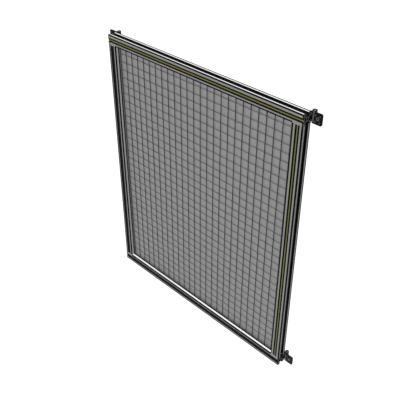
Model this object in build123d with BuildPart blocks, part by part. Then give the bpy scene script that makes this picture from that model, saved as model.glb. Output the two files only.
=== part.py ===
from build123d import *
import os

os.makedirs("parts", exist_ok=True)

# Mesh fence panel: a frame of four slotted aluminium extrusions (30 x 30, slot 8)
# with a welded wire mesh and a thin backing sheet held in the inner slots, yellow
# cover strips in the front slots, and four small cast hinges at the back corners.
#
# Frame of reference, millimetres: X to the right, Y to the back, Z up.
# The origin is on the mounting face of the lower right hinge's free leaf, on the
# vertical line through its screw hole, level with the panel's bottom edge.

# ---- driving dimensions ------------------------------------------------------
P = 30.0                 # side of the square extrusion
W = 700.0                # width over the frame
H = 835.0                # height over the frame
HOLE_OFF = 17.0          # free leaf's hole, from the frame's side face
HOLE_Z = 15.0            # hole height from the leaf's edge
MIRROR_X = -HOLE_OFF - W / 2      # the panel's upright middle plane
MIRROR_Z = H / 2                  # the panel's level middle plane

X_L = -HOLE_OFF - W      # left face of the frame
X_R = -HOLE_OFF          # right face of the frame
Y_F = -P                 # front face of the frame
Y_B = 0.0                # back face of the frame, and the hinges' mounting plane

SLOT = 8.2               # slot opening
LIP = 2.2                # lip thickness
UNDER = 16.5             # width under the lips
SLOT_DEEP = 9.25         # full slot depth
CORE_R = 3.4             # centre bore, tapping size for M8
EDGE_R = 1.5             # outer corner radius of the extrusion

STRIP_W = 5.2            # visible width of the cover strip
STRIP_IN = 0.5           # how far the strip sits below the frame's face

WIRE = 2.5               # mesh wire, square stock of the same width
PITCH = 25.0             # mesh pitch, both ways
NX, NZ = 26, 31          # upright and level wires
WIRE_X0 = X_L + 35.0     # first upright wire
WIRE_Z0 = 33.7           # first level wire
Y_UP = Y_F + 11.9        # front of the upright wires
Y_LEV = Y_F + 14.1       # front of the level wires, 0.3 welded into the upright ones
Y_SHEET = Y_F + 16.6     # front of the backing sheet
SHEET = 1.5              # backing sheet thickness
TUCK = 5.8               # how far the infill reaches into the slots

GASKET_W = 8.1           # channel seal, outside width
GASKET_D = 7.0           # its depth in the slot
GASKET_T = 0.9           # its wall
GASKET_LIP = 1.2         # how far its two lips stand out of the slot

LEAF_T = 4.5             # hinge leaf thickness
LEAF_H = 30.0            # hinge leaf height
AX_X = X_R + 0.4         # barrel axis
AX_Y = 10.8
BARREL_R = 6.0
LEAF_IN, LEAF_OUT = 1.0, 28.6     # each leaf, from the barrel axis outwards
FIX_Z0, FIX_Z1 = 3.4, 26.6        # the fixed leaf is lower than the free one
PIN_R = 3.0
SCREW_R = 2.5            # M5 countersunk
SCREW_HOLE_R = 2.75
HEAD_R = 5.0             # countersink at the leaf's back
FIX_X = 2 * AX_X         # fixed leaf's screw, opposite the free leaf's at x = 0
K_0, K_1, K_2, K_3 = 0.6, 9.8, 20.2, 29.4   # the barrel's three knuckles
K_GAP = 0.4              # gap between knuckles


def extrusion_section(cu, cv):
    # square with small rounded corners, four undercut slots and a centre bore
    h = P / 2
    with Locations((cu, cv)):
        RectangleRounded(P, P, EDGE_R)
    slot = [
        (SLOT / 2, h + 0.5),
        (SLOT / 2, h - LIP),
        (UNDER / 2, h - LIP),
        (UNDER / 2, h - 4.2),
        (4.0, h - SLOT_DEEP),
        (-4.0, h - SLOT_DEEP),
        (-UNDER / 2, h - 4.2),
        (-UNDER / 2, h - LIP),
        (-SLOT / 2, h - LIP),
        (-SLOT / 2, h + 0.5),
    ]
    for turn in (0, 90, 180, 270):
        with Locations(Location((cu, cv, 0), (0, 0, turn))):
            Polygon(*slot, align=None, mode=Mode.SUBTRACT)
    with Locations((cu, cv)):
        Circle(CORE_R, mode=Mode.SUBTRACT)


# ---- the four extrusions -----------------------------------------------------
# The rails run the full width; the stiles stand between them.
with BuildPart() as bottom_rail:
    with BuildSketch(Plane.YZ.offset(X_L)):
        extrusion_section(Y_F + P / 2, P / 2)
    extrude(amount=W)

with BuildPart() as top_rail:
    with BuildSketch(Plane.YZ.offset(X_L)):
        extrusion_section(Y_F + P / 2, H - P / 2)
    extrude(amount=W)

with BuildPart() as left_stile:
    with BuildSketch(Plane.XY.offset(P)):
        extrusion_section(X_L + P / 2, Y_F + P / 2)
    extrude(amount=H - 2 * P)

with BuildPart() as right_stile:
    with BuildSketch(Plane.XY.offset(P)):
        extrusion_section(X_R - P / 2, Y_F + P / 2)
    extrude(amount=H - 2 * P)

for piece, name in (
    (bottom_rail, "bottom_rail"),
    (top_rail, "top_rail"),
    (left_stile, "left_stile"),
    (right_stile, "right_stile"),
):
    piece.part.label = name
    export_step(piece.part, f"parts/{name}.step")


# ---- yellow cover strips in the front slots ----------------------------------
# a flat head in the slot opening on a web, with two feet behind the lips
def strip_points(c):
    w, n, f = STRIP_W / 2, 2.0, 5.4
    y0, y1, y2, y3 = STRIP_IN, STRIP_IN + 1.3, LIP + 0.15, LIP + 1.35
    return [
        (c - w, y0), (c + w, y0), (c + w, y1), (c + n, y1), (c + n, y2),
        (c + f, y2), (c + f, y3), (c - f, y3), (c - f, y2), (c - n, y2),
        (c - n, y1), (c - w, y1),
    ]


def rail_strip(cz):
    # section in the YZ plane, with depth measured back from the front face
    Polygon(*[(Y_F + d, u) for u, d in strip_points(cz)], align=None)


with BuildPart() as bottom_strip:
    with BuildSketch(Plane.YZ.offset(X_L)):
        rail_strip(P / 2)
    extrude(amount=W)

with BuildPart() as top_strip:
    with BuildSketch(Plane.YZ.offset(X_L)):
        rail_strip(H - P / 2)
    extrude(amount=W)


def stile_strip(cx):
    Polygon(*[(u, Y_F + d) for u, d in strip_points(cx)], align=None)


with BuildPart() as left_strip:
    with BuildSketch(Plane.XY.offset(P)):
        stile_strip(X_L + P / 2)
    extrude(amount=H - 2 * P)

with BuildPart() as right_strip:
    with BuildSketch(Plane.XY.offset(P)):
        stile_strip(X_R - P / 2)
    extrude(amount=H - 2 * P)

for piece, name in (
    (bottom_strip, "bottom_strip"),
    (top_strip, "top_strip"),
    (left_strip, "left_strip"),
    (right_strip, "right_strip"),
):
    piece.part.label = name
    export_step(piece.part, f"parts/{name}.step")


# ---- channel seals in the inner slots ----------------------------------------
def channel_points(opening, inward):
    # (depth into the slot, across the slot); open towards the infill, with both
    # lips standing out of the slot over the infill's faces
    g, t, d = GASKET_W / 2, GASKET_T, GASKET_D
    s = -inward
    o, p = opening, opening + inward * GASKET_LIP
    return [
        (p, -g), (o + s * d, -g), (o + s * d, g), (p, g),
        (p, g - t), (o + s * (d - t), g - t), (o + s * (d - t), -g + t), (p, -g + t),
    ]


# the seals along the rails run past the corners; those in the stiles stand between
# their lips
YC = Y_F + P / 2
with BuildPart() as bottom_gasket:
    with BuildSketch(Plane.YZ.offset(X_L + P - GASKET_D)):
        Polygon(*[(YC + v, u) for u, v in channel_points(P, 1)], align=None)
    extrude(amount=W - 2 * (P - GASKET_D))

with BuildPart() as top_gasket:
    with BuildSketch(Plane.YZ.offset(X_L + P - GASKET_D)):
        Polygon(*[(YC + v, u) for u, v in channel_points(H - P, -1)], align=None)
    extrude(amount=W - 2 * (P - GASKET_D))

with BuildPart() as left_gasket:
    with BuildSketch(Plane.XY.offset(P + GASKET_LIP)):
        Polygon(*[(u, YC + v) for u, v in channel_points(X_L + P, 1)], align=None)
    extrude(amount=H - 2 * P - 2 * GASKET_LIP)

with BuildPart() as right_gasket:
    with BuildSketch(Plane.XY.offset(P + GASKET_LIP)):
        Polygon(*[(u, YC + v) for u, v in channel_points(X_R - P, -1)], align=None)
    extrude(amount=H - 2 * P - 2 * GASKET_LIP)

for piece, name in (
    (bottom_gasket, "bottom_gasket"),
    (top_gasket, "top_gasket"),
    (left_gasket, "left_gasket"),
    (right_gasket, "right_gasket"),
):
    piece.part.label = name
    export_step(piece.part, f"parts/{name}.step")


# ---- infill: welded wire mesh in three widths, and the backing sheet ----------
PX0, PX1 = X_L + P - TUCK, X_R - P + TUCK
PZ0, PZ1 = P - TUCK, H - P + TUCK
CUT_1 = WIRE_X0 + 8.5 * PITCH
CUT_2 = WIRE_X0 + 17.5 * PITCH


def upright_wires(first, last):
    with Locations(*[(WIRE_X0 + i * PITCH, (PZ0 + PZ1) / 2) for i in range(first, last)]):
        Rectangle(WIRE, PZ1 - PZ0)


def level_wires(x0, x1):
    with Locations(*[((x0 + x1) / 2, WIRE_Z0 + j * PITCH) for j in range(NZ)]):
        Rectangle(x1 - x0, WIRE)


with BuildPart() as mesh_left:
    with BuildSketch(Plane.XZ.offset(-Y_UP)):
        upright_wires(0, 9)
    extrude(amount=-WIRE)
    with BuildSketch(Plane.XZ.offset(-Y_LEV)):
        level_wires(PX0, CUT_1)
    extrude(amount=-WIRE)

with BuildPart() as mesh_middle:
    with BuildSketch(Plane.XZ.offset(-Y_UP)):
        upright_wires(9, 18)
    extrude(amount=-WIRE)
    with BuildSketch(Plane.XZ.offset(-Y_LEV)):
        level_wires(CUT_1, CUT_2)
    extrude(amount=-WIRE)

with BuildPart() as mesh_right:
    with BuildSketch(Plane.XZ.offset(-Y_UP)):
        upright_wires(18, NX)
    extrude(amount=-WIRE)
    with BuildSketch(Plane.XZ.offset(-Y_LEV)):
        level_wires(CUT_2, PX1)
    extrude(amount=-WIRE)

with BuildPart() as infill_sheet:
    with BuildSketch(Plane.XZ.offset(-Y_SHEET)):
        with Locations(((PX0 + PX1) / 2, (PZ0 + PZ1) / 2)):
            Rectangle(PX1 - PX0, PZ1 - PZ0)
    extrude(amount=-SHEET)

for piece, name in (
    (mesh_left, "mesh_left"),
    (mesh_middle, "mesh_middle"),
    (mesh_right, "mesh_right"),
    (infill_sheet, "infill_sheet"),
):
    piece.part.label = name
    export_step(piece.part, f"parts/{name}.step")


# ---- the lower right hinge ---------------------------------------------------
# a butt hinge: two mirrored leaves and a barrel behind them, upright beside the
# frame's corner; the fixed leaf has the two outer knuckles, the free leaf the middle
PAD_X0, PAD_X1 = -9.8, 8.6           # cast pocket around the free leaf's hole
PAD_DEEP = 1.4

# free leaf: fastened to the neighbouring post, turns about the pin
with BuildPart() as post_leaf_lower_right:
    with BuildSketch(Plane.XZ):
        with Locations((AX_X + (LEAF_IN + LEAF_OUT) / 2, LEAF_H / 2)):
            Rectangle(LEAF_OUT - LEAF_IN, LEAF_H)
    extrude(amount=-LEAF_T)
    fillet(post_leaf_lower_right.edges().filter_by(Axis.Y).group_by(Axis.X)[-1], 4.0)
    chamfer(post_leaf_lower_right.faces().sort_by(Axis.Y)[-1].edges(), 0.6)
    # middle knuckle and the web that carries it
    with BuildSketch(Plane.XY.offset(K_1 + K_GAP / 2)):
        with Locations((AX_X, AX_Y)):
            Circle(BARREL_R)
            Polygon(
                (LEAF_IN, -AX_Y), (9.0, -AX_Y), (9.0, -AX_Y + LEAF_T), (5.95, -0.5), (LEAF_IN, -3.2),
                align=None,
            )
    extrude(amount=K_2 - K_1 - K_GAP)
    # pin bore, running fit
    with BuildSketch(Plane.XY.offset(-1.0)):
        with Locations((AX_X, AX_Y)):
            Circle(PIN_R + 0.05)
    extrude(amount=LEAF_H + 2, mode=Mode.SUBTRACT)
    # pocket in the mounting face, leaving a boss round the hole and four lugs
    with BuildSketch(Plane.XZ):
        with Locations(((PAD_X0 + PAD_X1) / 2, LEAF_H / 2)):
            RectangleRounded(PAD_X1 - PAD_X0, LEAF_H - 5.6, 2.0)
        with Locations((0, HOLE_Z)):
            Circle(5.2, mode=Mode.SUBTRACT)
        with Locations(*[(-0.6 + i * 6.2, HOLE_Z + j * 8.0) for i in (-1, 1) for j in (-1, 1)]):
            Circle(1.7, mode=Mode.SUBTRACT)
    extrude(amount=-PAD_DEEP, mode=Mode.SUBTRACT)
    # countersunk screw hole, its head side at the back
    with Locations(Plane((0, LEAF_T, HOLE_Z), x_dir=(1, 0, 0), z_dir=(0, 1, 0))):
        CounterSinkHole(radius=SCREW_HOLE_R, counter_sink_radius=HEAD_R, depth=LEAF_T, counter_sink_angle=90)

# fixed leaf: screwed to the rail's back slot
with BuildPart() as frame_leaf_lower_right:
    with BuildSketch(Plane.XZ):
        with Locations((AX_X - (LEAF_IN + LEAF_OUT) / 2, (FIX_Z0 + FIX_Z1) / 2)):
            Rectangle(LEAF_OUT - LEAF_IN, FIX_Z1 - FIX_Z0)
    extrude(amount=-LEAF_T)
    fillet(frame_leaf_lower_right.edges().filter_by(Axis.Y).group_by(Axis.X)[0], 4.0)
    chamfer(frame_leaf_lower_right.faces().sort_by(Axis.Y)[-1].edges(), 0.6)
    for k0, k1 in ((K_0, K_1 - K_GAP / 2), (K_2 + K_GAP / 2, K_3)):
        with BuildSketch(Plane.XY.offset(k0)):
            with Locations((AX_X, AX_Y)):
                Circle(BARREL_R)
        extrude(amount=k1 - k0)
        w0, w1 = max(k0, FIX_Z0), min(k1, FIX_Z1)
        with BuildSketch(Plane.XY.offset(w0)):
            with Locations((AX_X, AX_Y)):
                Polygon(
                    (-LEAF_IN, -AX_Y), (-9.0, -AX_Y), (-9.0, -AX_Y + LEAF_T), (-5.95, -0.5), (-LEAF_IN, -3.2),
                    align=None,
                )
        extrude(amount=w1 - w0)
    with BuildSketch(Plane.XY.offset(-1.0)):
        with Locations((AX_X, AX_Y)):
            Circle(PIN_R + 0.02)
    extrude(amount=LEAF_H + 2, mode=Mode.SUBTRACT)
    with Locations(Plane((FIX_X, LEAF_T, HOLE_Z), x_dir=(1, 0, 0), z_dir=(0, 1, 0))):
        CounterSinkHole(radius=SCREW_HOLE_R, counter_sink_radius=HEAD_R, depth=LEAF_T, counter_sink_angle=90)

# hinge pin, with low riveted ends on the outer knuckles
with BuildPart() as hinge_pin_lower_right:
    with BuildSketch(Plane.XZ.offset(-AX_Y)):
        with BuildLine():
            Polyline(
                (AX_X, 0.0), (AX_X + 3.4, 0.1), (AX_X + 4.2, K_0), (AX_X + PIN_R, K_0),
                (AX_X + PIN_R, K_3), (AX_X + 4.2, K_3), (AX_X + 3.4, LEAF_H - 0.1),
                (AX_X, LEAF_H), (AX_X, 0.0),
            )
        make_face()
    revolve(axis=Axis((AX_X, AX_Y, 0), (0, 0, 1)))

# countersunk socket screw through the fixed leaf into the slot nut
with BuildPart() as hinge_screw_lower_right:
    with BuildSketch(Plane.XY.offset(HOLE_Z)):
        with BuildLine():
            Polyline(
                (FIX_X, LEAF_T - 0.1), (FIX_X + HEAD_R - 0.3, LEAF_T - 0.1),
                (FIX_X + HEAD_R - 0.3, LEAF_T - 0.2), (FIX_X + SCREW_R, LEAF_T - HEAD_R + 0.1 + SCREW_R),
                (FIX_X + SCREW_R, -7.8), (FIX_X + SCREW_R - 0.6, -8.4), (FIX_X, -8.4),
                (FIX_X, LEAF_T - 0.1),
            )
        make_face()
    revolve(axis=Axis((FIX_X, 0, HOLE_Z), (0, 1, 0)))
    # hexagon socket
    with BuildSketch(Plane((FIX_X, LEAF_T, HOLE_Z), x_dir=(1, 0, 0), z_dir=(0, 1, 0))):
        RegularPolygon(radius=1.75, side_count=6)
    extrude(amount=-2.0, mode=Mode.SUBTRACT)

# slot nut under the lips of the rail's back slot
with BuildPart() as slot_nut_lower_right:
    with BuildSketch(Plane.YZ.offset(FIX_X - 8.0)):
        Polygon(
            (-0.4, HOLE_Z - 3.9), (-LIP - 0.1, HOLE_Z - 3.9), (-LIP - 0.1, HOLE_Z - 7.4),
            (-4.2, HOLE_Z - 7.4), (-6.4, HOLE_Z - 5.4), (-6.4, HOLE_Z + 5.4),
            (-4.2, HOLE_Z + 7.4), (-LIP - 0.1, HOLE_Z + 7.4), (-LIP - 0.1, HOLE_Z + 3.9),
            (-0.4, HOLE_Z + 3.9), align=None,
        )
    extrude(amount=16.0)
    with Locations(Plane((FIX_X, -0.4, HOLE_Z), x_dir=(1, 0, 0), z_dir=(0, 1, 0))):
        Hole(radius=SCREW_R + 0.05, depth=8.0)

# ---- the other three hinges, mirrored ----------------------------------------
LEVEL = Plane.XY.offset(MIRROR_Z)
UPRIGHT = Plane.YZ.offset(MIRROR_X)

for source, name in (
    (post_leaf_lower_right, "post_leaf"),
    (frame_leaf_lower_right, "frame_leaf"),
    (hinge_pin_lower_right, "hinge_pin"),
    (hinge_screw_lower_right, "hinge_screw"),
    (slot_nut_lower_right, "slot_nut"),
):
    with BuildPart() as upper_right:
        mirror(source.part, about=LEVEL)
    with BuildPart() as lower_left:
        mirror(source.part, about=UPRIGHT)
    with BuildPart() as upper_left:
        mirror(upper_right.part, about=UPRIGHT)
    for piece, corner in (
        (source, "lower_right"),
        (upper_right, "upper_right"),
        (lower_left, "lower_left"),
        (upper_left, "upper_left"),
    ):
        piece.part.label = f"{name}_{corner}"
        export_step(piece.part, f"parts/{name}_{corner}.step")
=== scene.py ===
import math
import random

import bmesh
import bpy
from mathutils import Matrix, Vector


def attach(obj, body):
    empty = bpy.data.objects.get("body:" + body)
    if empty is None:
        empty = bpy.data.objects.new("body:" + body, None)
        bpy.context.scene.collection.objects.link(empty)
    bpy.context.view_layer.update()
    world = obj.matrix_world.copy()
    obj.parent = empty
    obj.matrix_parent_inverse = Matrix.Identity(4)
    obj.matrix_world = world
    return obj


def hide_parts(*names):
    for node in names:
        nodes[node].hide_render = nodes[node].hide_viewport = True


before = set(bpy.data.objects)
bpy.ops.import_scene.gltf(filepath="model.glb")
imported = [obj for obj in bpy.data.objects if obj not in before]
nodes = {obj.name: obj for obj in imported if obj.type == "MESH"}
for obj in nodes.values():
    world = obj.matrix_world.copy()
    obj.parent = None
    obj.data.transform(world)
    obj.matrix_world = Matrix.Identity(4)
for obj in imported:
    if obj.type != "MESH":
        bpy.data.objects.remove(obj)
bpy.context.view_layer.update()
scene = bpy.context.scene

# ------------------------------------------------------------------ main sizes
# metres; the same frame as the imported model
P = 0.030
W, H = 0.700, 0.835
XL, XR = -0.717, -0.017
YF, YB = -0.030, 0.0
WIRE_R = 0.00125
PITCH = 0.025
X0, Z0 = XL + 0.0350, 0.0337
NX, NZ = 26, 31
Y_UP, Y_LEV = YF + 0.01315, YF + 0.01535
PX0, PX1 = XL + P - 0.0058, XR - P + 0.0058
PZ0, PZ1 = P - 0.0058, H - P + 0.0058
CUTS = [PX0, X0 + 8.5 * PITCH, X0 + 17.5 * PITCH, PX1]

# ------------------------------------------------------------------ the camera
# the photograph's own viewpoint: 45 degrees round, 35.26 degrees up
AZ, EL = math.radians(45.0), math.radians(35.264)
back = Vector((math.sin(AZ) * math.cos(EL), -math.cos(AZ) * math.cos(EL), math.sin(EL)))
cam_data = bpy.data.cameras.new("camera")
cam_data.sensor_fit = "HORIZONTAL"
cam_data.sensor_width = 36.0
cam_data.lens = 634.84 / 400.0 * 36.0
cam_data.clip_start, cam_data.clip_end = 0.05, 60.0
camera = bpy.data.objects.new("camera", cam_data)
scene.collection.objects.link(camera)
camera.location = (0.7116, -1.0860, 1.4968)
camera.rotation_euler = back.to_track_quat("Z", "Y").to_euler()
scene.camera = camera


# ------------------------------------------------------------ material helpers
class Graph:
    """A small wrapper for building a node material."""

    def __init__(self, name):
        self.m = bpy.data.materials.new(name)
        self.m.use_nodes = True
        self.nt = self.m.node_tree
        self.bsdf = self.nt.nodes["Principled BSDF"]
        self.tc = self.nt.nodes.new("ShaderNodeTexCoord")

    def new(self, kind, **props):
        n = self.nt.nodes.new(kind)
        for k, v in props.items():
            setattr(n, k, v)
        return n

    def link(self, a, b):
        self.nt.links.new(a, b)

    def put(self, sock, v):
        if hasattr(v, "links") or hasattr(v, "is_linked"):
            self.link(v, sock)
        else:
            sock.default_value = v

    def math(self, op, a, b=0.0, clamp=False):
        n = self.new("ShaderNodeMath", operation=op, use_clamp=clamp)
        self.put(n.inputs[0], a)
        self.put(n.inputs[1], b)
        return n.outputs[0]

    def noise(self, scale=(1, 1, 1), detail=2.0, rough=0.5, size=1.0, src=None, offset=(0, 0, 0)):
        mp = self.new("ShaderNodeMapping")
        mp.inputs["Scale"].default_value = scale
        mp.inputs["Location"].default_value = offset
        self.link(src or self.tc.outputs["Object"], mp.inputs["Vector"])
        n = self.new("ShaderNodeTexNoise")
        n.inputs["Scale"].default_value = size
        n.inputs["Detail"].default_value = detail
        n.inputs["Roughness"].default_value = rough
        self.link(mp.outputs[0], n.inputs["Vector"])
        return n.outputs[0]

    def range(self, v, a, b, c, d, smooth=False):
        n = self.new("ShaderNodeMapRange")
        if smooth:
            n.interpolation_type = "SMOOTHSTEP"
        self.put(n.inputs["Value"], v)
        n.inputs["From Min"].default_value = a
        n.inputs["From Max"].default_value = b
        n.inputs["To Min"].default_value = c
        n.inputs["To Max"].default_value = d
        return n.outputs["Result"]

    def mix(self, f, a, b, mode="MIX"):
        n = self.new("ShaderNodeMix", data_type="RGBA", blend_type=mode)
        self.put(n.inputs[0], f)
        self.put(n.inputs[6], a)
        self.put(n.inputs[7], b)
        return n.outputs[2]

    def grey(self, v):
        n = self.new("ShaderNodeCombineColor")
        for i in range(3):
            self.put(n.inputs[i], v)
        return n.outputs[0]

    def bump(self, height, strength, distance, normal=None):
        n = self.new("ShaderNodeBump")
        n.inputs["Strength"].default_value = strength
        n.inputs["Distance"].default_value = distance
        self.link(height, n.inputs["Height"])
        if normal is not None:
            self.link(normal, n.inputs["Normal"])
        return n.outputs[0]

    def set(self, **kw):
        names = {"color": "Base Color", "metallic": "Metallic", "rough": "Roughness", "normal": "Normal",
                 "spec": "Specular IOR Level", "coat": "Coat Weight", "coat_rough": "Coat Roughness",
                 "sheen": "Sheen Weight", "aniso": "Anisotropic"}
        for k, v in kw.items():
            self.put(self.bsdf.inputs[names[k]], v)


def rgb(r, g, b):
    return (r, g, b, 1.0)


ALU = 0.277


def extrusion_material(name, along, cu, cv, inner=0, painted_light_side=0.0, lines_of=None):
    """Natural anodised extrusion. along is the axis it runs on, cu and cv the centre of its square
    section, inner the side of a rail that the stiles stand against (-1 below, 1 above). lines_of
    gives a face's dark lines: from where to its two edges, and how far out each slot lip."""
    g = Graph(name)
    sep = g.new("ShaderNodeSeparateXYZ")
    g.link(g.tc.outputs["Object"], sep.inputs[0])
    sn = g.new("ShaderNodeSeparateXYZ")
    g.link(g.tc.outputs["Normal"], sn.inputs[0])
    if along == "X":
        u, v, w, n_along = sep.outputs[1], sep.outputs[2], sep.outputs[0], sn.outputs[0]
        stretch = (2.5, 900.0, 900.0)
        broad = (5.0, 60.0, 60.0)
    else:
        u, v, w, n_along = sep.outputs[0], sep.outputs[1], sep.outputs[2], sn.outputs[2]
        stretch = (900.0, 900.0, 2.5)
        broad = (60.0, 60.0, 5.0)
    du = g.math("ABSOLUTE", g.math("SUBTRACT", u, cu))
    dv = g.math("ABSOLUTE", g.math("SUBTRACT", v, cv))
    far = g.math("MAXIMUM", du, dv)
    near = g.math("MINIMUM", du, dv)
    end = g.range(g.math("ABSOLUTE", n_along), 0.7, 0.9, 0.0, 1.0)
    side = g.math("SUBTRACT", 1.0, end)
    # long die lines and broad cloudiness
    lines = g.noise(stretch, detail=3.0, rough=0.65)
    cloud = g.noise(broad, detail=2.0)
    # circular marks of the saw on the cut ends
    sawn = g.noise((220.0, 220.0, 220.0), detail=4.0, rough=0.7)
    tone = g.math("ADD", g.range(lines, 0.3, 0.7, -0.016, 0.016), g.range(cloud, 0.3, 0.7, -0.010, 0.010))
    tone = g.math("ADD", tone, g.math("MULTIPLY", g.range(sawn, 0.3, 0.7, -0.03, 0.03), end))
    tone = g.math("ADD", tone, ALU)
    # painted light: one side face (the left stile's inner face) is painted lighter, up to twice the tone, for light
    # it doesn't get
    if painted_light_side:
        face = g.range(g.math("SUBTRACT", u, cu), 0.01465, 0.01485, 0.0, painted_light_side)
        tone = g.math("MULTIPLY", tone, g.math("ADD", face, 1.0))
    # outer corners, the slots' lips and the cut edges are dark lines; the slots' inside is painted near black,
    # painted shade in the recess
    corner = g.range(near, 0.0126, 0.0130, 0.0, 1.0, True)
    uu, vv = g.math("SUBTRACT", u, cu), g.math("SUBTRACT", v, cv)
    faces = {"+u": (uu, 1.0, vv), "-u": (uu, -1.0, vv), "+v": (vv, 1.0, uu), "-v": (vv, -1.0, uu)}
    lip = 0.0
    for key, (out, sign, t) in faces.items():
        lo, hi, lip_lo, lip_hi = (lines_of or {}).get(key, (0.0126, 0.0126, 0.0054, 0.0054))
        on = g.range(g.math("MULTIPLY", out, sign), 0.0143, 0.0147, 0.0, 1.0)
        band = g.math("MAXIMUM", g.range(t, hi, hi + 0.0003, 0.0, 1.0), g.range(t, -lo - 0.0003, -lo, 1.0, 0.0))
        corner = g.math("MAXIMUM", corner, g.math("MULTIPLY", on, band))
        slit = g.math("MULTIPLY", g.range(t, lip_hi, lip_hi + 0.0003, 1.0, 0.0), g.range(t, -lip_lo - 0.0003, -lip_lo, 0.0, 1.0))
        lip = g.math("MAXIMUM", g.math("MULTIPLY", on, slit), lip)
    if inner:
        mid = g.math("ABSOLUTE", g.math("SUBTRACT", w, (XL + XR) / 2))
        against = g.math("MULTIPLY", g.range(mid, W / 2 - P - 0.0005, W / 2 - P + 0.0005, 0.0, 1.0),
                         g.range(g.math("MULTIPLY", g.math("SUBTRACT", v, cv), float(inner)), 0.010, 0.011, 0.0, 1.0))
        corner = g.math("MULTIPLY", corner, g.math("SUBTRACT", 1.0, against))
        cut = g.math("MULTIPLY", g.range(mid, W / 2 - 0.0032, W / 2 - 0.0028, 0.0, 1.0, True), side)
        corner = g.math("MAXIMUM", corner, cut)
    # painted shade: the inside of each slot is darkened to near black by its depth
    painted_slot_shade = g.math("MULTIPLY", g.range(far, 0.01465, 0.01485, 1.0, 0.0), side)
    dark = g.math("MAXIMUM", g.math("MULTIPLY", g.math("MAXIMUM", corner, lip), 0.991), g.math("MULTIPLY", painted_slot_shade, 0.993))
    dark = g.math("MAXIMUM", dark, g.math("MULTIPLY", end, 0.70))
    tone = g.math("MULTIPLY", tone, g.math("SUBTRACT", 1.0, dark))
    g.set(color=g.grey(tone), metallic=0.12, spec=0.02)
    g.set(rough=g.math("ADD", g.range(lines, 0.3, 0.7, 0.40, 0.50), g.math("MULTIPLY", end, 0.12)))
    g.set(normal=g.bump(g.math("ADD", lines, g.math("MULTIPLY", sawn, end)), 0.25, 0.00006))
    return g.m


YELLOW = (0.208, 0.203, 0.038)
# painted shade: the same yellow plastic, darkened to near black for the left and bottom strips
YELLOW_IN_PAINTED_SHADE = (0.013, 0.012, 0.004)


def plastic_material(name, color, along, centre, half, spec):
    """Cover strip: a yellow middle between side lips painted black, painted shade of the slot's gap. centre is its
    middle line across, half the middle's half width."""
    g = Graph(name)
    sep = g.new("ShaderNodeSeparateXYZ")
    g.link(g.tc.outputs["Object"], sep.inputs[0])
    across = sep.outputs[2] if along == "X" else sep.outputs[0]
    stretch = (4.0, 400.0, 400.0) if along == "X" else (400.0, 400.0, 4.0)
    lines = g.noise(stretch, detail=2.0)
    fine = g.noise((900.0, 900.0, 900.0), detail=2.0)
    f = g.range(lines, 0.3, 0.7, 0.0, 1.0)
    lo = rgb(*[c * 0.92 for c in color])
    hi = rgb(*[c * 1.06 for c in color])
    off = g.math("ABSOLUTE", g.math("SUBTRACT", across, centre))
    # painted shade: beyond the middle the strip is painted black for the shaded gap beside it
    lip = g.range(off, half, half + 0.0002, 0.0, 1.0)
    # the cut ends are plain yellow
    sn = g.new("ShaderNodeSeparateXYZ")
    g.link(g.tc.outputs["Normal"], sn.inputs[0])
    end = g.range(g.math("ABSOLUTE", sn.outputs[0] if along == "X" else sn.outputs[2]), 0.7, 0.9, 0.0, 1.0)
    skin = g.mix(lip, g.mix(f, lo, hi), rgb(0.006, 0.006, 0.005))
    g.set(color=g.mix(end, skin, g.mix(f, rgb(*[c * 0.92 for c in YELLOW]), rgb(*YELLOW))), rough=g.range(fine, 0.3, 0.7, 0.42, 0.56), spec=spec)
    g.set(normal=g.bump(fine, 0.15, 0.00005))
    return g.m


def rubber_material(name, base, upright_side_painted_light):
    g = Graph(name)
    fine = g.noise((1500.0, 1500.0, 1500.0), detail=3.0)
    dust_and_painted_light = g.noise((70.0, 70.0, 70.0), detail=4.0)
    v = g.range(dust_and_painted_light, 0.35, 0.75, base * 0.7, base * 1.5)
    # the two edges are black; on the upright seals the sides between them are painted lighter, painted light, mottled
    # by the noise
    sep = g.new("ShaderNodeSeparateXYZ")
    g.link(g.tc.outputs["Object"], sep.inputs[0])
    mid = g.math("ABSOLUTE", g.math("SUBTRACT", sep.outputs[1], YF + P / 2))
    v = g.math("ADD", v, g.math("MULTIPLY", g.range(mid, 0.0023, 0.0026, 1.0, 0.0), g.range(dust_and_painted_light, 0.3, 0.7, upright_side_painted_light * 0.8, upright_side_painted_light * 1.2)))
    g.set(color=g.grey(v), rough=g.range(fine, 0.3, 0.7, 0.7, 0.9), spec=0.04)
    g.set(normal=g.bump(fine, 0.3, 0.00005))
    return g.m


def wire_material(name, tone):
    g = Graph(name)
    peel = g.noise((700.0, 700.0, 700.0), detail=2.0)
    patch = g.noise((40.0, 40.0, 40.0), detail=3.0)
    v = g.range(patch, 0.3, 0.7, tone * 0.85, tone * 1.15)
    g.set(color=g.grey(v), rough=g.range(peel, 0.3, 0.7, 0.45, 0.60), metallic=0.0, spec=0.3)
    g.set(normal=g.bump(peel, 0.2, 0.00006))
    return g.m


def sheet_material(name):
    g = Graph(name)
    grain = g.noise((900.0, 900.0, 12.0), detail=3.0, rough=0.6)
    cloud = g.noise((3.0, 3.0, 3.0), detail=3.0)
    v = g.math("ADD", g.range(grain, 0.3, 0.7, -0.010, 0.010), g.range(cloud, 0.3, 0.7, 0.281, 0.296))
    g.set(color=g.grey(v), rough=g.range(cloud, 0.3, 0.7, 0.5, 0.6), metallic=0.0, spec=0.25)
    g.set(normal=g.bump(grain, 0.1, 0.00003))
    return g.m


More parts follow.
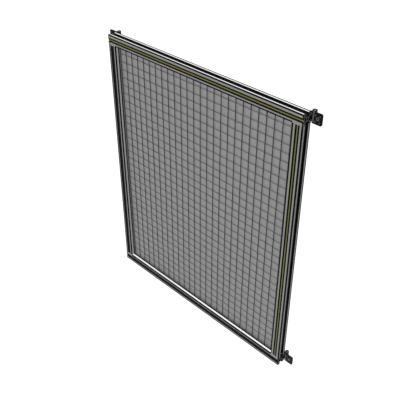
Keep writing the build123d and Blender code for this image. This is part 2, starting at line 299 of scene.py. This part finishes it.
def cast_material(name, face=False):
    """Black die casting. On the free leaf's front the raised strip, boss and lugs are painted lighter, a painted
    highlight.
    """
    g = Graph(name)
    grain = g.noise((1100.0, 1100.0, 1100.0), detail=3.0, rough=0.6)
    patch = g.noise((90.0, 90.0, 90.0), detail=3.0)
    v = g.range(patch, 0.3, 0.7, 0.004, 0.008)
    if face:
        sep = g.new("ShaderNodeSeparateXYZ")
        g.link(g.tc.outputs["Object"], sep.inputs[0])
        # from the hole, outwards and up, the same on all four leaves
        xr = g.math("SUBTRACT", g.math("ABSOLUTE", g.math("SUBTRACT", sep.outputs[0], (XL + XR) / 2)), -(XL + XR) / 2)
        zr = g.math("SUBTRACT", H / 2, g.math("ABSOLUTE", g.math("SUBTRACT", sep.outputs[2], H / 2)))
        raised = g.range(sep.outputs[1], 0.0003, 0.0006, 1.0, 0.0)

        def dist(a, b):
            return g.math("SQRT", g.math("ADD", g.math("MULTIPLY", a, a), g.math("MULTIPLY", b, b)))

        zc = g.math("SUBTRACT", zr, 0.015)
        strip = g.math("MULTIPLY", g.range(xr, -0.0146, -0.0142, 0.0, 1.0), g.range(xr, -0.0106, -0.0102, 1.0, 0.0))
        strip = g.math("MULTIPLY", strip, g.range(zr, 0.0265, 0.0275, 1.0, 0.0))
        ring = g.range(dist(xr, zc), 0.0046, 0.0050, 1.0, 0.0)
        lug = dist(g.math("SUBTRACT", g.math("ABSOLUTE", g.math("ADD", xr, 0.0006)), 0.0062),
                   g.math("SUBTRACT", g.math("ABSOLUTE", zc), 0.008))
        lug = g.range(lug, 0.0014, 0.0017, 1.0, 0.0)
        # painted highlight on the raised strip, boss ring and lugs
        painted_highlight = g.math("ADD", g.math("MULTIPLY", strip, 0.120), g.math("ADD", g.math("MULTIPLY", ring, 0.11), g.math("MULTIPLY", lug, 0.16)))
        painted_highlight = g.math("MULTIPLY", painted_highlight, g.range(patch, 0.3, 0.7, 0.85, 1.15))
        v = g.math("ADD", v, g.math("MULTIPLY", painted_highlight, raised))
    g.set(color=g.grey(v), rough=g.range(grain, 0.3, 0.7, 0.48, 0.65), metallic=0.0, spec=0.07)
    g.set(normal=g.bump(grain, 0.35, 0.00010))
    return g.m


def steel_material(name, tone, metallic=0.9):
    g = Graph(name)
    grain = g.noise((500.0, 500.0, 500.0), detail=3.0, rough=0.6)
    patch = g.noise((120.0, 120.0, 120.0), detail=2.0)
    v = g.range(patch, 0.3, 0.7, tone * 0.85, tone * 1.15)
    g.set(color=g.grey(v), rough=g.range(grain, 0.3, 0.7, 0.30, 0.45), metallic=metallic)
    g.set(normal=g.bump(grain, 0.15, 0.00005))
    return g.m


def give(node, material):
    o = nodes[node]
    o.data.materials.clear()
    o.data.materials.append(material)


mats = {
    "top_rail": extrusion_material("extrusion_top_rail", "X", YF + P / 2, H - P / 2, -1,
                                   lines_of={"+v": (0.0117, 0.0099, 0.0083, 0.0058), "-u": (0.0102, 0.0118, 0.0064, 0.0064)}),
    "bottom_rail": extrusion_material("extrusion_bottom_rail", "X", YF + P / 2, P / 2, 1,
                                      lines_of={"-u": (0.0102, 0.0104, 0.0066, 0.0080), "+v": (0.0119, 0.0119, 0.0063, 0.0063)}),
    # the left stile's inner face is painted lighter here: painted light
    "left_stile": extrusion_material("extrusion_left_stile", "Z", XL + P / 2, YF + P / 2, 0, 1.0,
                                     lines_of={"-v": (0.0096, 0.0108, 0.0076, 0.0072), "+u": (0.0119, 0.0119, 0.0063, 0.0063)}),
    "right_stile": extrusion_material("extrusion_right_stile", "Z", XR - P / 2, YF + P / 2,
                                      lines_of={"-v": (0.0114, 0.0112, 0.0064, 0.0064), "+u": (0.0115, 0.0100, 0.0072, 0.0066)}),
}
for n, m in mats.items():
    give(n, m)
give("top_strip", plastic_material("strip_plastic_top", YELLOW, "X", H - P / 2, 0.0013, 0.05))
give("right_strip", plastic_material("strip_plastic_right", YELLOW, "Z", XR - P / 2, 0.0012, 0.05))
# the bottom and left strips are the same yellow plastic, painted near black as painted shade
give("bottom_strip", plastic_material("strip_plastic_bottom", YELLOW_IN_PAINTED_SHADE, "X", P / 2, 0.0015, 0.01))
give("left_strip", plastic_material("strip_plastic_left", YELLOW_IN_PAINTED_SHADE, "Z", XL + P / 2, 0.0015, 0.01))
# painted shade and painted light: the rails' seals are painted darker in place of the shadow the key light doesn't
# cast, the upright seals painted lighter along their sides
seal = rubber_material("seal_rubber", 0.003, 0.001)
seal_upright_painted_lighter = rubber_material("seal_rubber_upright_painted_lighter", 0.008, 0.090)
for n in ("top_gasket", "bottom_gasket"):
    give(n, seal)
for n in ("left_gasket", "right_gasket"):
    give(n, seal_upright_painted_lighter)
sheet = sheet_material("infill_sheet_metal")
give("infill_sheet", sheet)
# painted light and shade: uprights and level wires share one coating; the uprights are painted darker and the level
# wires lighter for how the overhead light falls on them
wire = wire_material("wire_coating", 0.020)
wire_level_painted_lighter = wire_material("level_wire_coating_painted_lighter", 0.046)
cast = cast_material("hinge_casting")
cast_face = cast_material("free_leaf_casting", True)
black_steel = steel_material("blackened_steel", 0.012, 0.3)
zinc_steel = steel_material("zinc_plated_steel", 0.40)
for corner in ("lower_right", "upper_right", "lower_left", "upper_left"):
    give("post_leaf_" + corner, cast_face)
    give("frame_leaf_" + corner, cast)
    give("hinge_pin_" + corner, black_steel)
    give("hinge_screw_" + corner, black_steel)
    give("slot_nut_" + corner, zinc_steel)
for n in ("mesh_left", "mesh_middle", "mesh_right"):
    give(n, wire)


# ------------------------------------------------------------- the wire mesh
def rod(bm, a, b, r, sides=12):
    """A round bar from a to b, with closed ends."""
    a, b = Vector(a), Vector(b)
    d = (b - a).normalized()
    side = Vector((0, 1, 0)) if abs(d.y) < 0.9 else Vector((1, 0, 0))
    u = d.cross(side).normalized()
    v = d.cross(u)
    rings = []
    for p in (a, b):
        rings.append([bm.verts.new(p + r * (math.cos(t) * u + math.sin(t) * v))
                      for t in [2 * math.pi * k / sides for k in range(sides)]])
    for k in range(sides):
        q = (k + 1) % sides
        f = bm.faces.new((rings[0][k], rings[0][q], rings[1][q], rings[1][k]))
        f.smooth = True
    bm.faces.new(rings[0][::-1])
    bm.faces.new(rings[1])


def nugget(bm, c, size):
    """The squeezed bead of a resistance weld."""
    r = bmesh.ops.create_icosphere(bm, subdivisions=1, radius=1.0,
                                   matrix=Matrix.Translation(c) @ Matrix.Diagonal((size[0], size[1], size[2], 1)))
    for v in r["verts"]:
        for f in v.link_faces:
            f.smooth = True


def finish_mesh(bm, name, material, body, smooth_angle=40):
    bmesh.ops.recalc_face_normals(bm, faces=bm.faces[:])
    me = bpy.data.meshes.new(name)
    bm.to_mesh(me)
    bm.free()
    me.set_sharp_from_angle(angle=math.radians(smooth_angle))
    for m in material if isinstance(material, (list, tuple)) else (material,):
        me.materials.append(m)
    o = bpy.data.objects.new(name, me)
    scene.collection.objects.link(o)
    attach(o, body)
    return o


rng = random.Random(7)
for part, (name, lo, hi, first, last) in enumerate((
        ("mesh_left", CUTS[0], CUTS[1], 0, 9),
        ("mesh_middle", CUTS[1], CUTS[2], 9, 18),
        ("mesh_right", CUTS[2], CUTS[3], 18, 26))):
    bm = bmesh.new()
    for i in range(first, last):
        x = X0 + i * PITCH
        rod(bm, (x, Y_UP, PZ0), (x, Y_UP, PZ1), WIRE_R)
    upright = len(bm.faces)
    for j in range(NZ):
        z = Z0 + j * PITCH
        rod(bm, (lo, Y_LEV, z), (hi, Y_LEV, z), WIRE_R)
    bm.faces.ensure_lookup_table()
    for f in bm.faces[upright:]:
        f.material_index = 1
    for i in range(first, last):
        for j in range(NZ):
            s = rng.uniform(0.92, 1.08)
            nugget(bm, (X0 + i * PITCH, (Y_UP + Y_LEV) / 2, Z0 + j * PITCH), (0.00155 * s, 0.00075, 0.00155 * s))
    o = finish_mesh(bm, "wires_" + name.split("_")[1], (wire, wire_level_painted_lighter), "panel")
    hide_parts(name)


# --------------------------------------------- screws in the free leaves' holes
def ring(bm, c, r, y, sides, turn=0.0):
    return [bm.verts.new((c[0] + r * math.cos(t), y, c[1] + r * math.sin(t)))
            for t in [turn + 2 * math.pi * k / sides for k in range(sides)]]


def band(bm, a, b):
    for k in range(len(a)):
        q = (k + 1) % len(a)
        bm.faces.new((a[k], a[q], b[q], b[k]))


def countersunk_screw(name, c, body):
    """Hexagon socket countersunk screw, head at the back of the leaf, its end just under the front face."""
    bm = bmesh.new()
    n = 36
    profile = [(0.0018, 0.0004), (0.0025, 0.0011), (0.0025, 0.0022), (0.0046, 0.0042), (0.0046, 0.0044), (0.0044, 0.00445)]
    rings = [ring(bm, c, r, y, n) for r, y in profile]
    bm.faces.new(rings[0])
    for a, b in zip(rings, rings[1:]):
        band(bm, a, b)
    # the socket: a six-sided well in the head
    socket = []
    for k in range(n):
        t = 2 * math.pi * k / n
        r = 0.0015 * math.cos(math.pi / 6) / math.cos((t % (math.pi / 3)) - math.pi / 6)
        socket.append((r * math.cos(t), r * math.sin(t)))
    rim = [bm.verts.new((c[0] + x, 0.00445, c[1] + z)) for x, z in socket]
    deep = [bm.verts.new((c[0] + x, 0.0027, c[1] + z)) for x, z in socket]
    band(bm, rings[-1], rim)
    band(bm, rim, deep)
    bm.faces.new(deep)
    return finish_mesh(bm, name, black_steel, body, 30)


for corner, x, z in (("lower_right", 0.0, 0.015), ("upper_right", 0.0, H - 0.015),
                     ("lower_left", XL + XR, 0.015), ("upper_left", XL + XR, H - 0.015)):
    countersunk_screw("post_screw_" + corner, (x, z), "free_leaf_" + corner)


# -------------------------------------------------------- floor and the light
def stage_plane(name, size, z, material):
    bm = bmesh.new()
    bmesh.ops.create_grid(bm, x_segments=1, y_segments=1, size=size)
    me = bpy.data.meshes.new(name)
    bm.to_mesh(me)
    bm.free()
    me.materials.append(material)
    o = bpy.data.objects.new(name, me)
    o.location = (XL / 2, 0, z)
    scene.collection.objects.link(o)
    return o


g = Graph("floor_paint")
fl = g.noise((1.5, 1.5, 1.5), detail=2.0)
g.set(color=g.grey(g.range(fl, 0.3, 0.7, 0.035, 0.045)), rough=0.9, spec=0.0)
g.bsdf.inputs["Emission Color"].default_value = (1, 1, 1, 1)
g.bsdf.inputs["Emission Strength"].default_value = 1.0
stage_plane("floor", 40.0, -0.001, g.m)

world = bpy.data.worlds.new("studio")
world.use_nodes = True
world.node_tree.nodes["Background"].inputs[0].default_value = (1, 1, 1, 1)
world.node_tree.nodes["Background"].inputs[1].default_value = 0.10
scene.world = world

# a soft overhead key, tipped a few degrees to the front and the right
key = bpy.data.lights.new("overhead_key", "SUN")
key.energy = math.pi * 3.65
key.angle = math.radians(6.0)
key.use_shadow = False
lamp = bpy.data.objects.new("overhead_key", key)
lamp.rotation_euler = Vector((0.040, -0.087, 1.0)).to_track_quat("Z", "Y").to_euler()
scene.collection.objects.link(lamp)

scene.view_settings.view_transform = "Standard"
scene.view_settings.look = "None"
scene.view_settings.exposure = 0.0
scene.view_settings.gamma = 1.0
